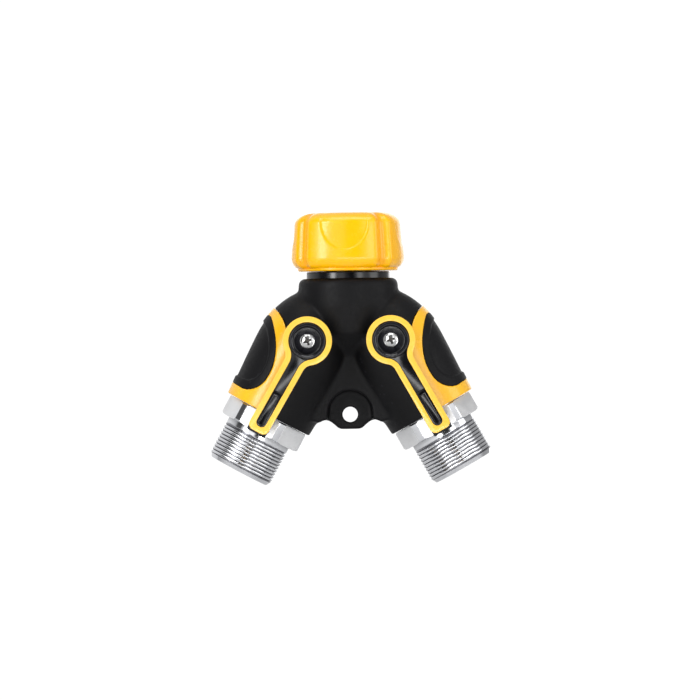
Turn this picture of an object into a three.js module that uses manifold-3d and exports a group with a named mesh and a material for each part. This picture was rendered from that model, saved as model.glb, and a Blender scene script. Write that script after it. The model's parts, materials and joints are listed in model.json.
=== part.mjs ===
// A two-way garden hose splitter: a swivel inlet nut, a cast Y body in a soft jacket, and a ball
// valve with a quarter-turn lever on each outlet leg.
// Millimetres, +Z up. The origin is the centre of the nut's mouth, on the inlet axis. The levers
// face -Y, and the two legs lean out to -X (left) and +X (right).
import * as THREE from "three";
import { mergeVertices } from "three/addons/utils/BufferGeometryUtils.js";
import Module from "manifold-3d";

const wasm = await Module();
wasm.setup();

// ---- driving dimensions ----
const gap = 0.3; // between pieces that touch
const bigSteps = 28; // facets round a large turned piece
const smallSteps = 16; // facets round a small one
const past = 1; // how far a cutting tool runs past the face it opens
const wide = 30; // half the reach of a cutting tool that passes right through

const nut = {
  steps: 48,
  height: 22.6,
  radius: 22,
  boreRadius: 13.6,
  boreDepth: 17.2,
  neckRadius: 9.9,
  lobes: 4,
  turn: THREE.MathUtils.degToRad(-6.5), // the lobes stand a little off square, as the nut was left
  slope: 0.06, // how much the side draws in for each millimetre above its widest
  widest: -17,
  grooveDepth: 1.7,
  grooveHalfAngle: 0.11,
  scallopDepth: 0.8,
  scallopHalfAngle: 0.44,
  scallopBottom: -14.4,
  scallopMiddle: -4,
};
const washer = { outer: 13.2, inner: 8.2, top: -11.9, bottom: -14.5 };
const tail = {
  flangeRadius: 13,
  flangeTop: -14.8,
  flangeBottom: -16.9,
  radius: 9.5,
  bore: 7.4,
  bottom: -33,
  grooveTop: -28.6,
  grooveBottom: -30.6,
  grooveRadius: 8.2,
  ringRadius: 8.99,
  ringThickness: 0.74,
};
const neck = { radius: 16.2, hole: 9.9, top: -22.9, bottom: -27.2, chamfer: 0.5 };
const body = { radius: 15.2, top: -27.5, bossBottom: -44 };
const inlet = { bore: 9.8, boreBottom: -33.4, waterway: 8.5, bottom: -40 };
const passage = { radius: 6, start: -18 }; // from the inlet into each valve chamber
const leg = {
  hubX: 16.1,
  hubZ: -49.7,
  lean: THREE.MathUtils.degToRad(29),
  radius: 19.1,
  widest: 6,
  capReach: 27.5,
  taper: 1.3,
  end: 32.3,
  capStart: -19,
};
const skin = 2.6; // jacket thickness over the legs' upper caps
const chamber = { radius: 10.8, start: -9.5 };
const collar = {
  radius: 19.4,
  top: -25.4,
  round: 2.2,
  straightEnd: -36,
  waist: -47,
  waistRadius: 17.8,
  bottom: -58,
  bottomRadius: 8,
};
const tab = { half: 2.4, hole: 3, holeZ: -78.5, bottom: -84.2 };
const web = { half: 10, top: -45, topHalf: 14, archTop: -69, archHalf: 8.6, archFoot: -90 };
const ball = { radius: 9, bore: 6, slotDepth: 6 };
const seat = { near: 5.5, far: 9.2, inner: 6.3, outer: 10.5, coneRadius: 7.6, coneEnd: 6.9 };
const stem = {
  radius: 3.2,
  hole: 3.5,
  collarRadius: 4.6,
  collarBack: -9.3,
  collarFront: -11.6,
  head: -22.6,
  tangEnd: -7,
  tangLength: 3,
  tangHalf: 1.3,
  tangWide: 3,
  grooveBack: -14.2,
  grooveFront: -15.8,
  grooveRadius: 2.2,
  ringRadius: 2.84,
  ringThickness: 0.6,
};
// The round boss that carries a stem, and the flat round it that the lever turns on.
const boss = { radius: 7, face: -18.4, foot: -12.2, roomFront: -12, roomBack: -9, toolBack: -8 };
const leverSeat = { radius: 10.5, face: -18.8 };
const fitting = {
  steps: 20,
  insert: 10.5,
  start: 9.5,
  hexStart: 32.6,
  hexEnd: 40.3,
  hexFlat: 15,
  hexCorner: 16.9,
  hexTurn: { left: THREE.MathUtils.degToRad(-6), right: THREE.MathUtils.degToRad(-2) },
  grooveStart: 26,
  grooveEnd: 28,
  grooveRadius: 9.2,
  ringRadius: 9.98,
  ringThickness: 0.74,
  neckRadius: 13.2,
  neckEnd: 42.5,
  threadCrest: 13.45,
  threadRoot: 12.75,
  ridges: 10,
  pitch: 1.32,
  end: 57.2,
  bore: 8.5,
  throat: 6.4,
  throatEnd: 14,
};
const lever = {
  under: -19.5,
  plateTop: -20.8,
  face: -24.8,
  coreFace: -24.6,
  hubRadius: 9.5,
  coreHub: 7.2,
  halfWidth: 4.2,
  coreHalf: 2.1,
  length: 40,
  tipRound: 2.4,
  coreLength: 37.5,
  plateLength: 40.9,
  recess: 5.7,
  recessFloor: -23.4,
  // how far each lever rests outside the line of its leg
  turn: { left: THREE.MathUtils.degToRad(1.3), right: 0 },
};
const screw = {
  head: 2.9,
  headTop: -24.9,
  shank: 1.6,
  tip: -17.5,
  slotHalf: 0.35,
  slotReach: 1.7,
  slotDepth: 0.8,
};

// ---- side trim and pad outlines on the right leg, as [x, z] ----
const trimOutline = [
  [28.4, -37.1], [25.7, -40.6], [24.2, -44.9], [21.8, -51], [20.4, -57.5], [33, -80.4],
  [56, -68], [56, -45], [33.5, -32.5],
];
const padOutline = [
  [30.3, -40.2], [28.8, -45.6], [28.4, -51.5], [29.1, -57.3], [31.1, -62], [34.2, -66.3],
  [38.1, -67.5], [41.2, -67.5], [45.5, -65.1], [54, -60], [54, -45], [38, -36],
];
// Lower edge of the web and hanging tab between the legs, right half, from the leg inwards.
const webEdge = [
  [18, -80], [12, -81.6], [10.8, -80.75], [9.6, -80.5], [8.4, -80.85], [6.2, -82.3],
  [4.7, -83.9], [3.9, tab.bottom],
];

// ---- materials ----
function finish(colour, roughness, metalness = 0) {
  return new THREE.MeshStandardMaterial({ color: colour, roughness, metalness });
}
const yellowPlastic = finish(0xffc422, 0.35);
const blackPlastic = finish(0x141414, 0.3);
const softBlack = finish(0x24262a, 0.75);
const platedZinc = finish(0xc9c9cc, 0.3, 1);
const castZinc = finish(0x9a9a98, 0.5, 1);
const brass = finish(0xb59a52, 0.35, 1);
const rubber = finish(0x1a1a1a, 0.85);
const seatPlastic = finish(0xe9e6dd, 0.5);
const steel = finish(0xb8b8b8, 0.3, 1);

// ---- solids ----
function solid(geometry) {
  const bare = geometry.clone();
  bare.deleteAttribute("normal");
  bare.deleteAttribute("uv");
  const merged = mergeVertices(bare, 1e-4);
  const triVerts = new Uint32Array(merged.index.array);
  const vertProperties = merged.attributes.position.array;
  const made = new wasm.Manifold(new wasm.Mesh({ numProp: 3, vertProperties, triVerts }));
  if (made.volume() > 0) return made;
  for (let i = 0; i < triVerts.length; i += 3) {
    [triVerts[i + 1], triVerts[i + 2]] = [triVerts[i + 2], triVerts[i + 1]];
  }
  return new wasm.Manifold(new wasm.Mesh({ numProp: 3, vertProperties, triVerts }));
}

function join(...pieces) {
  return pieces.reduce((all, piece) => all.add(piece));
}

function cut(piece, ...tools) {
  return tools.reduce((left, tool) => left.subtract(tool), piece);
}

// A turned shape: points are [radius, height] and the axis is Z.
function turned(points, steps = bigSteps) {
  const profile = points.map(([r, h]) => new THREE.Vector2(r, h));
  return new THREE.LatheGeometry(profile, steps).rotateX(Math.PI / 2);
}

// A turned ring or tube, its profile closed on itself.
function turnedRing(points, steps = bigSteps) {
  return turned([...points, points[0]], steps);
}

function rod(radius, low, high, steps = bigSteps) {
  return turned([[0, low], [radius, low], [radius, high], [0, high]], steps);
}

function tube(inner, outer, low, high, steps = bigSteps) {
  return turnedRing([[inner, low], [outer, low], [outer, high], [inner, high]], steps);
}

// A torus about Z for an O-ring, at height h.
function ring(radius, thickness, h, steps = smallSteps) {
  return new THREE.TorusGeometry(radius, thickness, 6, steps).translate(0, 0, h);
}

// A flat shape drawn as [x, z] and given thickness along Y, from front to back.
function plate(points, front, back, side = 1) {
  const shape = new THREE.Shape(points.map(([x, z]) => new THREE.Vector2(x * side, z)));
  return extruded(shape, front, back);
}

function extruded(shape, front, back) {
  const geometry = new THREE.ExtrudeGeometry(shape, {
    depth: back - front,
    bevelEnabled: false,
    curveSegments: 10,
  });
  return geometry.rotateX(Math.PI / 2).translate(0, back, 0);
}

// Moves a shape made about local Z on to a leg: local Z runs down the leg from the valve centre.
function onLeg(geometry, side) {
  const turn = side * (Math.PI - leg.lean);
  return geometry.rotateY(turn).translate(side * leg.hubX, 0, leg.hubZ);
}

// Moves a shape made about local Z so that it points to the front from the valve centre.
function onHub(geometry, side) {
  return geometry.rotateX(Math.PI / 2).translate(side * leg.hubX, 0, leg.hubZ);
}

// A cylinder about a valve's Y axis, from front to back.
function hubRod(radius, front, back, side, steps = smallSteps) {
  return onHub(rod(radius, -back, -front, steps), side);
}

// The outline moved outwards by a distance, corner by corner.
function grown(points, distance) {
  const area = points.reduce((sum, [x, z], i) => {
    const [nx, nz] = points[(i + 1) % points.length];
    return sum + x * nz - nx * z;
  }, 0);
  const out = Math.sign(area) * distance;
  return points.map((point, i) => {
    const before = points[(i + points.length - 1) % points.length];
    const after = points[(i + 1) % points.length];
    const a = new THREE.Vector2(point[0] - before[0], point[1] - before[1]).normalize();
    const b = new THREE.Vector2(after[0] - point[0], after[1] - point[1]).normalize();
    const normal = new THREE.Vector2(a.y + b.y, -a.x - b.x);
    const stretch = out / Math.max(normal.lengthSq() / 2, 0.4);
    return [point[0] + normal.x * stretch, point[1] + normal.y * stretch];
  });
}

// ---- swivel nut ----
// How far the nut's side stands back from its full radius at an angle and height: a groove
// between each pair of lobes, and a shallow U-shaped finger hold on each lobe.
function nutRelief(angle, z) {
  const lobe = (2 * Math.PI) / nut.lobes;
  const turned = angle - nut.turn;
  const fromLobe = Math.abs(THREE.MathUtils.euclideanModulo(turned + lobe / 2, lobe) - lobe / 2);
  const fromGroove = lobe / 2 - fromLobe;
  if (fromGroove < nut.grooveHalfAngle) return nut.grooveDepth;
  const fall = Math.max(0, (nut.scallopMiddle - z) / (nut.scallopMiddle - nut.scallopBottom));
  if (fall >= 1) return 0;
  return fromLobe < nut.scallopHalfAngle * Math.sqrt(1 - fall ** 2) ? nut.scallopDepth : 0;
}

function makeNut() {
  const r = nut.radius;
  const heights = [-19.5, nut.widest, -14.8, -13, -10, -6.5, -3.5];
  const sides = heights.map((z) => [r - Math.max(0, z - nut.widest) * nut.slope, z]);
  const profile = [
    [nut.neckRadius, -nut.height], [r - 2.4, -nut.height], [r - 1.2, -nut.height + 1],
    ...sides,
    [r - 2, -1.3], [r - 3.6, 0],
    [nut.boreRadius + 0.8, 0], [nut.boreRadius, -0.8],
    [nut.boreRadius, -nut.boreDepth], [nut.neckRadius, -nut.boreDepth],
  ];
  const geometry = turnedRing(profile, nut.steps);
  const place = geometry.attributes.position;
  for (let i = 0; i < place.count; i++) {
    const x = place.getX(i);
    const y = place.getY(i);
    const out = Math.hypot(x, y);
    if (out < r - 2) continue;
    const shrink = 1 - nutRelief(Math.atan2(y, x), place.getZ(i)) / out;
    place.setXY(i, x * shrink, y * shrink);
  }
  return solid(geometry);
}

// ---- inlet ----
function makeWasher() {
  return solid(tube(washer.inner, washer.outer, washer.bottom, washer.top));
}

function makeTailpiece() {
  return solid(turnedRing([
    [tail.bore, tail.bottom], [tail.radius, tail.bottom], [tail.radius, tail.grooveBottom],
    [tail.grooveRadius, tail.grooveBottom], [tail.grooveRadius, tail.grooveTop],
    [tail.radius, tail.grooveTop], [tail.radius, tail.flangeBottom],
    [tail.flangeRadius, tail.flangeBottom], [tail.flangeRadius, tail.flangeTop],
    [tail.bore, tail.flangeTop],
  ]));
}

function makeTailRing() {
  const middle = (tail.grooveTop + tail.grooveBottom) / 2;
  return solid(ring(tail.ringRadius, tail.ringThickness, middle, bigSteps));
}

function makeNeckRing() {
  return solid(turnedRing([
    [neck.hole, neck.bottom], [neck.radius, neck.bottom], [neck.radius, neck.top - neck.chamfer],
    [neck.radius - neck.chamfer, neck.top], [neck.hole, neck.top],
  ]));
}

// ---- legs ----
// Outer radius of a leg at a distance along it from the valve centre.
function legRadius(t) {
  if (t < leg.widest) {
    return leg.radius * Math.sqrt(Math.max(0, 1 - ((t - leg.widest) / leg.capReach) ** 2));
  }
  return leg.radius - leg.taper * ((t - leg.widest) / (leg.end - leg.widest)) ** 1.3;
}

const capLevels = [-19, -17, -14, -11, -8, -4.5, -0.5, leg.widest];
const sideLevels = [14, 23, leg.end];

function jacketLeg(side) {
  const levels = [...capLevels, ...sideLevels];
  const wall = levels.map((t) => [legRadius(t), t]);
  return solid(onLeg(turned([[0, leg.capStart], ...wall, [0, leg.end]]), side));
}

// The cast body's leg, or with room > 0 the space the jacket leaves for it.
function castLeg(side, room, end) {
  const wall = capLevels.map((t) => [Math.min(body.radius, legRadius(t) - skin) + room, t]);
  const start = leg.capStart - room;
  const profile = [[0, start], [wall[0][0], start], ...wall, [body.radius + room, end], [0, end]];
  return solid(onLeg(turned(profile), side));
}

function castSpace(room, end) {
  return join(
    castLeg(1, room, end),
    castLeg(-1, room, end),
    solid(rod(body.radius + room, body.bossBottom - room, body.top + room)),
  );
}

function makeMetalBody() {
  let made = castSpace(0, leg.end - gap);
  const bores = [
    solid(rod(inlet.bore, inlet.boreBottom, body.top + past)),
    solid(rod(inlet.waterway, inlet.bottom, inlet.boreBottom + past)),
  ];
  for (const side of [1, -1]) {
    made = join(made, solid(hubRod(boss.radius, boss.face, boss.foot, side)));
    bores.push(
      solid(onLeg(rod(passage.radius, passage.start, chamber.start + past, smallSteps), side)),
      solid(onLeg(rod(chamber.radius, chamber.start, leg.end + past), side)),
      solid(hubRod(stem.hole, boss.face - past, boss.roomBack, side)),
      solid(hubRod(stem.collarRadius + gap, boss.roomFront, boss.roomBack, side)),
    );
  }
  return cut(made, ...bores);
}

// ---- jacket ----
function webOutline() {
  const left = webEdge.map(([x, z]) => [-x, z]).reverse();
  return [[web.topHalf, web.top], ...webEdge, ...left, [-web.topHalf, web.top]];
}

// The thick part of the web ends above the tab in an arch.
function archOutline() {
  const points = [[web.archHalf, web.archFoot]];
  const steps = smallSteps / 2;
  for (let step = 0; step <= steps; step++) {
    const angle = (Math.PI * step) / steps;
    const drop = web.archHalf * (1 - Math.sin(angle));
    points.push([web.archHalf * Math.cos(angle), web.archTop - drop]);
  }
  return [...points, [-web.archHalf, web.archFoot]];
}

function jacketOutside() {
  const r = collar.radius;
  const corner = collar.round * (1 - Math.SQRT1_2); // how far the rounded edge's middle is cut back
  const collarSolid = solid(turned([
    [0, collar.bottom], [collar.bottomRadius, collar.bottom], [collar.waistRadius, collar.waist],
    [r, collar.straightEnd], [r, collar.top - collar.round],
    [r - corner, collar.top - corner], [r - collar.round, collar.top], [0, collar.top],
  ]));
  const arch = solid(plate(archOutline(), -wide, wide));
  const thick = cut(solid(plate(webOutline(), -web.half, web.half)), arch);
  const thin = solid(plate(webOutline(), -tab.half, tab.half));
  return join(jacketLeg(1), jacketLeg(-1), collarSolid, thick, thin);
}

function jacketShell() {
  return cut(
    jacketOutside(),
    castSpace(gap, leg.end + past),
    solid(rod(neck.radius + gap, body.top - past, collar.top + past)),
    solid(plate(roundPoints(tab.hole, 0, tab.holeZ), -wide, wide)),
  );
}

function roundPoints(radius, x, z) {
  const points = [];
  for (let step = 0; step < smallSteps; step++) {
    const angle = (2 * Math.PI * step) / smallSteps;
    points.push([x + radius * Math.cos(angle), z + radius * Math.sin(angle)]);
  }
  return points;
}

const shell = jacketShell();

// The flat the lever turns on, and the boss's hole through the jacket.
function leverRoom(side) {
  return join(
    solid(hubRod(leverSeat.radius, -wide, leverSeat.face, side, bigSteps)),
    solid(hubRod(boss.radius + gap, -wide, boss.toolBack, side)),
  );
}

// Front (-1) or rear (+1) half of the jacket.
function makeJacket(facing) {
  const block = new THREE.BoxGeometry(4 * wide, wide, 3 * wide);
  block.translate(0, facing * (gap + wide) / 2, -2 * wide);
  let made = shell.intersect(solid(block));
  for (const side of [1, -1]) {
    made = cut(made, solid(plate(grown(trimOutline, gap), -wide, wide, side)));
    if (facing < 0) made = cut(made, leverRoom(side));
  }
  return made;
}

function makeSideTrim(side) {
  const area = solid(plate(trimOutline, -wide, wide, side));
  const padSpace = solid(plate(grown(padOutline, gap / 2), -wide, wide, side));
  return cut(shell.intersect(area), padSpace, leverRoom(side));
}

function makeSidePad(side) {
  return shell.intersect(solid(plate(grown(padOutline, -gap / 2), -wide, wide, side)));
}

// ---- valve ----
function makeBall(side) {
  const sphere = new THREE.SphereGeometry(ball.radius, smallSteps, 12);
  const slot = new THREE.BoxGeometry(
    2 * (stem.tangHalf + gap), ball.slotDepth, 2 * (stem.tangWide + gap),
  ).translate(0, stem.tangEnd + gap - ball.slotDepth / 2, 0);
  const end = ball.radius + past;
  return cut(
    solid(onLeg(sphere, side)),
    solid(onLeg(rod(ball.bore, -end, end, smallSteps), side)),
    solid(onLeg(slot, side)),
  );
}

// A seat ring on the inner (-1) or outer (+1) side of the ball, coned to meet it.
function makeSeat(side, facing) {
  const profile = [
    [seat.inner, seat.far], [seat.outer, seat.far], [seat.outer, seat.near],
    [seat.coneRadius, seat.near], [seat.inner, seat.coneEnd],
  ];
  return solid(onLeg(turnedRing(profile.map(([r, t]) => [r, facing * t])), side));
}

function makeStem(side) {
  const s = stem;
  const shaft = turned([
    [0, -s.collarBack], [s.collarRadius, -s.collarBack], [s.collarRadius, -s.collarFront],
    [s.radius, -s.collarFront], [s.radius, -s.grooveBack],
    [s.grooveRadius, -s.grooveBack], [s.grooveRadius, -s.grooveFront],
    [s.radius, -s.grooveFront], [s.radius, -s.head], [0, -s.head],
  ], smallSteps);
  const tang = new THREE.BoxGeometry(2 * s.tangHalf, s.tangLength, 2 * s.tangWide);
  tang.translate(0, s.tangEnd - s.tangLength / 2, 0);
  const screwHole = hubRod(screw.shank + gap, s.head - past, screw.tip + 2 * gap, side);
  return cut(join(solid(onHub(shaft, side)), solid(onLeg(tang, side))), solid(screwHole));
}

function makeStemRing(side) {
  const middle = -(stem.grooveFront + stem.grooveBack) / 2;
  return solid(onHub(ring(stem.ringRadius, stem.ringThickness, middle), side));
}

// ---- outlet fitting ----
function makeFitting(side) {
  const f = fitting;
  const ridges = [];
  for (let i = 0; i < f.ridges; i++) {
    const foot = f.neckEnd + i * f.pitch;
    ridges.push([f.threadRoot, foot], [f.threadCrest, foot + f.pitch / 2]);
  }
  const made = solid(onLeg(turnedRing([
    [f.throat, f.start], [f.insert, f.start], [f.insert, f.grooveStart],
    [f.grooveRadius, f.grooveStart], [f.grooveRadius, f.grooveEnd],
    [f.insert, f.grooveEnd], [f.insert, f.hexStart + past],
    [f.neckRadius, f.hexStart + past], [f.neckRadius, f.neckEnd - 0.4],
    ...ridges,
    [f.threadRoot, f.end - 0.9], [f.threadRoot - 0.6, f.end], [f.bore, f.end],
    [f.bore, f.throatEnd], [f.throat, f.throatEnd],
  ], f.steps), side));
  // One flat of the hexagon faces the front, turned as far as the fitting was screwed home.
  const turn = side > 0 ? f.hexTurn.right : f.hexTurn.left;
  const corner = f.hexFlat / Math.cos(Math.PI / 6);
  const hexagon = new THREE.CylinderGeometry(corner, corner, f.hexEnd - f.hexStart, 6);
  hexagon.rotateY(Math.PI / 2).rotateX(Math.PI / 2);
  hexagon.rotateZ(-turn).translate(0, 0, (f.hexStart + f.hexEnd) / 2);
  const round = turned([
    [0, f.hexStart], [f.hexCorner - 0.5, f.hexStart], [f.hexCorner, f.hexStart + 0.5],
    [f.hexCorner, f.hexEnd - 0.9], [f.hexFlat - 0.2, f.hexEnd], [0, f.hexEnd],
  ]);
  const hole = rod(f.neckRadius - past, f.hexStart - past, f.hexEnd + past);
  const hex = solid(onLeg(hexagon, side)).intersect(solid(onLeg(round, side)));
  return join(made, cut(hex, solid(onLeg(hole, side))));
}

function makeFittingRing(side) {
  const f = fitting;
  const middle = (f.grooveStart + f.grooveEnd) / 2;
  return solid(onLeg(ring(f.ringRadius, f.ringThickness, middle, f.steps), side));
}

// ---- lever ----
// A round hub with a straight arm along +X, whose end has rounded corners.
function leverShape(hubRadius, halfWidth, length, corner) {
  const shape = new THREE.Shape();
  const meet = Math.asin(halfWidth / hubRadius);
  shape.absarc(0, 0, hubRadius, meet, 2 * Math.PI - meet, false);
  if (corner > 0) {
    const across = halfWidth - corner;
    shape.absarc(length - corner, -across, corner, -Math.PI / 2, 0, false);
    shape.absarc(length - corner, across, corner, 0, Math.PI / 2, false);
  } else {
    shape.lineTo(length, -halfWidth);
    shape.lineTo(length, halfWidth);
  }
  return shape;
}

// Places a lever shape on its hub, with its arm down the leg.
function leverPlate(shape, front, back, side) {
  const rest = side > 0 ? lever.turn.right : lever.turn.left;
  const turn = Math.PI / 2 - leg.lean - rest;
  const geometry = extruded(shape, front, back).rotateY(side > 0 ? turn : Math.PI - turn);
  return solid(geometry.translate(side * leg.hubX, 0, leg.hubZ));
}

function makeLeverHandle(side) {
  const v = lever;
  const baseShape = leverShape(v.hubRadius - 0.4, v.halfWidth - 0.2, v.plateLength, 0);
  const raisedShape = leverShape(v.coreHub, v.coreHalf, v.coreLength, v.coreHalf - 0.1);
  return cut(
    join(
      leverPlate(baseShape, v.plateTop, v.under, side),
      leverPlate(raisedShape, v.coreFace, v.plateTop + gap, side),
    ),
    solid(hubRod(v.recess, v.coreFace - past, v.recessFloor, side)),
    solid(hubRod(screw.shank + gap, v.coreFace - past, v.under + past, side)),
    solid(hubRod(stem.radius + gap, stem.head - gap, v.under + past, side)),
  );
}

function makeLeverTrim(side) {
  const v = lever;
  const top = v.face;
  const under = v.plateTop - gap;
  const outer = leverShape(v.hubRadius, v.halfWidth, v.length, v.tipRound);
  const inner = leverShape(v.coreHub + gap, v.coreHalf + gap, v.coreLength + gap, v.coreHalf);
  return cut(
    leverPlate(outer, top, under, side),
    leverPlate(inner, top - past, under + past, side),
  );
}

function makeLeverScrew(side) {
  const floor = -lever.recessFloor + gap;
  const top = -screw.headTop;
  const turnedScrew = turned([
    [0, -screw.tip], [screw.shank - 0.6, -screw.tip], [screw.shank, -screw.tip + 0.8],
    [screw.shank, floor], [screw.head, floor], [screw.head, floor + 0.4],
    [screw.head * 0.7, top - 0.15], [0, top],
  ], smallSteps);
  let made = solid(onHub(turnedScrew, side));
  const { slotReach: reach, slotHalf: half } = screw;
  for (const [across, tall] of [[reach, half], [half, reach]]) {
    const slot = new THREE.BoxGeometry(2 * across, screw.slotDepth * 2, 2 * tall);
    slot.translate(0, screw.headTop, 0);
    made = cut(made, solid(slot.translate(side * leg.hubX, 0, leg.hubZ)));
  }
  return made;
}

// ---- assembly ----
const splitter = new THREE.Group();

function addPiece(name, made, material) {
  const { vertProperties, triVerts, numProp } = made.getMesh();
  const geometry = new THREE.BufferGeometry();
  const points = new THREE.InterleavedBuffer(vertProperties, numProp);
  geometry.setAttribute("position", new THREE.InterleavedBufferAttribute(points, 3, 0));
  geometry.setIndex(new THREE.BufferAttribute(triVerts, 1));
  const bare = geometry.toNonIndexed();
  bare.computeVertexNormals();
  const mesh = new THREE.Mesh(bare, material.clone());
  mesh.name = name;
  splitter.add(mesh);
}

addPiece("swivel_nut", makeNut(), yellowPlastic);
addPiece("hose_washer", makeWasher(), rubber);
addPiece("inlet_tailpiece", makeTailpiece(), brass);
addPiece("tailpiece_o_ring", makeTailRing(), rubber);
addPiece("neck_ring", makeNeckRing(), blackPlastic);
addPiece("metal_body", makeMetalBody(), castZinc);
addPiece("front_jacket", makeJacket(-1), softBlack);
addPiece("rear_jacket", makeJacket(1), softBlack);

for (const [hand, side] of [["left", -1], ["right", 1]]) {
  addPiece(`${hand}_side_trim`, makeSideTrim(side), yellowPlastic);
  addPiece(`${hand}_side_pad`, makeSidePad(side), softBlack);
  addPiece(`${hand}_valve_ball`, makeBall(side), platedZinc);
  addPiece(`${hand}_inner_seat`, makeSeat(side, -1), seatPlastic);
  addPiece(`${hand}_outer_seat`, makeSeat(side, 1), seatPlastic);
  addPiece(`${hand}_valve_stem`, makeStem(side), brass);
  addPiece(`${hand}_stem_o_ring`, makeStemRing(side), rubber);
  addPiece(`${hand}_outlet_fitting`, makeFitting(side), platedZinc);
  addPiece(`${hand}_fitting_o_ring`, makeFittingRing(side), rubber);
  addPiece(`${hand}_lever_handle`, makeLeverHandle(side), blackPlastic);
  addPiece(`${hand}_lever_trim`, makeLeverTrim(side), yellowPlastic);
  addPiece(`${hand}_lever_screw`, makeLeverScrew(side), steel);
}

export default splitter;
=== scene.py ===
import json
import math
import time

import bpy
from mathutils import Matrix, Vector

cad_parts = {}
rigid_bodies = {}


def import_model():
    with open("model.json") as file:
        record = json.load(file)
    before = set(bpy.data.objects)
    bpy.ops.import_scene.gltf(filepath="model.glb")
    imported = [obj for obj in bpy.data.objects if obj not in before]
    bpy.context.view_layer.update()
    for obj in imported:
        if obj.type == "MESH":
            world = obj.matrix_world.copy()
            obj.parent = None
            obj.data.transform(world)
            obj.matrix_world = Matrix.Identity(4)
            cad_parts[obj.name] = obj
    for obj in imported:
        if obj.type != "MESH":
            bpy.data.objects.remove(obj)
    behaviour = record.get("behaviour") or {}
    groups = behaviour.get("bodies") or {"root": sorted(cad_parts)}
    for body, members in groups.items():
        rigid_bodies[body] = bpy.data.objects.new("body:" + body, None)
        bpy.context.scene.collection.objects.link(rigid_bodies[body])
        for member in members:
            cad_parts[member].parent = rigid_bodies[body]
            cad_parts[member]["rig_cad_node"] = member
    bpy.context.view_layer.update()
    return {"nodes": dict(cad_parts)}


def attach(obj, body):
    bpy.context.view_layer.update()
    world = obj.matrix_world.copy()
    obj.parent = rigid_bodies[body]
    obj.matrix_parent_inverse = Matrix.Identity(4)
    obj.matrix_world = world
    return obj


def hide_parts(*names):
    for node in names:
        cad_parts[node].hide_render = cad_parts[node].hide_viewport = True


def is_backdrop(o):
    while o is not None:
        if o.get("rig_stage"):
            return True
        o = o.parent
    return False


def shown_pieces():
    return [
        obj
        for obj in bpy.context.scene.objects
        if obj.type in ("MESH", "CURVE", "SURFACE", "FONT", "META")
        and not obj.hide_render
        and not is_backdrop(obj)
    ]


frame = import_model()
mm = 0.001
startTime = time.time()


def say(text):
    print(f"{time.time() - startTime:6.1f} s  {text}")


# The splitter's own layout: the inlet axis is Z, and each leg leans out from its valve centre.
layout = {
    "hubX": 16.1, "hubZ": -49.7, "lean": math.radians(29),
    "legEnd": 32.3, "legRadius": 19.1, "widest": 6.0, "capReach": 27.5, "taper": 1.3,
}
sides = (("left", -1), ("right", 1))


# making and shaping
def pick(obj):
    bpy.ops.object.select_all(action="DESELECT")
    obj.select_set(True)
    bpy.context.view_layer.objects.active = obj


def editMode(obj):
    pick(obj)
    bpy.ops.object.mode_set(mode="EDIT")


def objectMode():
    bpy.ops.object.mode_set(mode="OBJECT")


def settle(obj):  # puts the object's place into its mesh
    pick(obj)
    bpy.ops.object.transform_apply(location=True, rotation=True, scale=True)
    return obj


def named(name):
    obj = bpy.context.active_object
    obj.name = name
    obj.data.name = name
    return obj


def cleaned(obj):  # merges doubles and turns faces outwards
    editMode(obj)
    bpy.ops.mesh.select_all(action="SELECT")
    bpy.ops.mesh.remove_doubles(threshold=0.002 * mm)
    bpy.ops.mesh.normals_make_consistent(inside=False)
    objectMode()
    return obj


def modify(obj, kind, **values):  # adds one modifier and applies it
    pick(obj)
    modifier = obj.modifiers.new(kind.title(), kind)
    for key, value in values.items():
        setattr(modifier, key, value)
    bpy.ops.object.modifier_apply(modifier=modifier.name)
    return obj


def combine(obj, tool, operation, keepTool=False):
    modify(obj, "BOOLEAN", operation=operation, object=tool, solver="MANIFOLD")
    if not keepTool:
        bpy.data.objects.remove(tool)
    return obj


def duplicate(obj, name):
    pick(obj)
    bpy.ops.object.duplicate()
    return named(name)


def joined(objects, name):
    bpy.ops.object.select_all(action="DESELECT")
    for obj in objects:
        obj.select_set(True)
    bpy.context.view_layer.objects.active = objects[0]
    bpy.ops.object.join()
    return named(name)


def moulded(obj, voxel, rounds):  # even skin with softened edges
    modify(obj, "REMESH", mode="VOXEL", voxel_size=voxel * mm)
    if rounds:
        modify(obj, "SMOOTH", factor=0.5, iterations=rounds)
    pick(obj)
    bpy.ops.object.shade_smooth()
    return obj


def softened(obj, width, segments=3, angle=40):
    return modify(obj, "BEVEL", width=width * mm, segments=segments, limit_method="ANGLE",
                  angle_limit=math.radians(angle))


def smoothByAngle(obj, degrees=35):
    pick(obj)
    bpy.ops.object.shade_smooth_by_angle(angle=math.radians(degrees))
    return obj


def arcPoints(centreA, centreB, radius, start, end, count):
    points = []
    for i in range(count + 1):
        angle = math.radians(start + (end - start) * i / count)
        points.append((centreA + radius * math.cos(angle), centreB + radius * math.sin(angle)))
    return points


def outlineLoop(name, points, place):  # a closed loop of edges
    bpy.ops.object.select_all(action="DESELECT")
    bpy.ops.mesh.primitive_circle_add(vertices=len(points), radius=1, fill_type="NOTHING")
    obj = named(name)
    for vertex, point in zip(obj.data.vertices, points):
        vertex.co = place(point)
    return obj


def spun(name, profile, steps=128):  # profile is (radius, height) in mm, turned about Z
    obj = outlineLoop(name, profile, lambda p: (p[0] * mm, 0, p[1] * mm))
    editMode(obj)
    bpy.ops.mesh.select_all(action="SELECT")
    bpy.ops.mesh.spin(steps=steps, angle=2 * math.pi, center=(0, 0, 0), axis=(0, 0, 1))
    objectMode()
    return cleaned(obj)


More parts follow.
